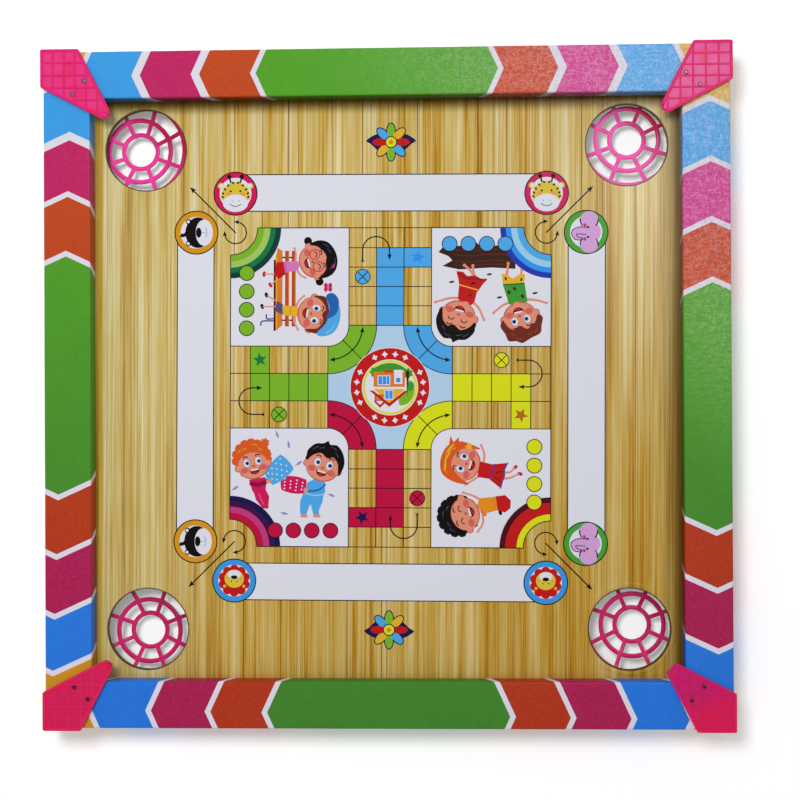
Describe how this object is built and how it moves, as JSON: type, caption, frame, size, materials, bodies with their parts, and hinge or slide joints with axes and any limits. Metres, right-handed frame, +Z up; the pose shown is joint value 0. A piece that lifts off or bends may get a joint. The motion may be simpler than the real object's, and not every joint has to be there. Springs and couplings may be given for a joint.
{
  "type": "carrom board",
  "caption": "Square children's carrom board: mitred timber rails, a printed recessed panel with corner pocket holes, moulded nets and ribbed corner guards.",
  "frame": {"origin": "on the floor, under the middle of the board", "axes": "+Z up out of the playing face, +X to the right along the longer side, +Y away from the near player"},
  "size_m": [0.511, 0.506, 0.0398],
  "materials": {
    "printed_rail_paper": "printed paper under a gloss film, stuck over softwood",
    "printed_panel": "hardboard with a gloss printed laminate on top",
    "pink_plastic": "moulded, slightly translucent, satin gloss",
    "steel_fasteners": "dull wire steel"
  },
  "bodies": {
    "root": {"far_left_corner_nail_1": "steel_fasteners", "far_left_corner_nail_2": "steel_fasteners", "far_left_guard": "pink_plastic", "far_left_guard_tack_1": "steel_fasteners", "far_left_guard_tack_2": "steel_fasteners", "far_left_net_pin_1": "steel_fasteners", "far_left_net_pin_2": "steel_fasteners", "far_left_net_pin_3": "steel_fasteners", "far_left_pocket_net": "pink_plastic", "far_panel_pin_1": "steel_fasteners", "far_panel_pin_2": "steel_fasteners", "far_panel_pin_3": "steel_fasteners", "far_rail": "printed_rail_paper", "far_right_corner_nail_1": "steel_fasteners", "far_right_corner_nail_2": "steel_fasteners", "far_right_guard": "pink_plastic", "far_right_guard_tack_1": "steel_fasteners", "far_right_guard_tack_2": "steel_fasteners", "far_right_net_pin_1": "steel_fasteners", "far_right_net_pin_2": "steel_fasteners", "far_right_net_pin_3": "steel_fasteners", "far_right_pocket_net": "pink_plastic", "left_panel_pin_1": "steel_fasteners", "left_panel_pin_2": "steel_fasteners", "left_panel_pin_3": "steel_fasteners", "left_rail": "printed_rail_paper", "near_left_corner_nail_1": "steel_fasteners", "near_left_corner_nail_2": "steel_fasteners", "near_left_guard": "pink_plastic", "near_left_guard_tack_1": "steel_fasteners", "near_left_guard_tack_2": "steel_fasteners", "near_left_net_pin_1": "steel_fasteners", "near_left_net_pin_2": "steel_fasteners", "near_left_net_pin_3": "steel_fasteners", "near_left_pocket_net": "pink_plastic", "near_panel_pin_1": "steel_fasteners", "near_panel_pin_2": "steel_fasteners", "near_panel_pin_3": "steel_fasteners", "near_rail": "printed_rail_paper", "near_right_corner_nail_1": "steel_fasteners", "near_right_corner_nail_2": "steel_fasteners", "near_right_guard": "pink_plastic", "near_right_guard_tack_1": "steel_fasteners", "near_right_guard_tack_2": "steel_fasteners", "near_right_net_pin_1": "steel_fasteners", "near_right_net_pin_2": "steel_fasteners", "near_right_net_pin_3": "steel_fasteners", "near_right_pocket_net": "pink_plastic", "playing_panel": "printed_panel", "right_panel_pin_1": "steel_fasteners", "right_panel_pin_2": "steel_fasteners", "right_panel_pin_3": "steel_fasteners", "right_rail": "printed_rail_paper"}
  },
  "joints": []
}
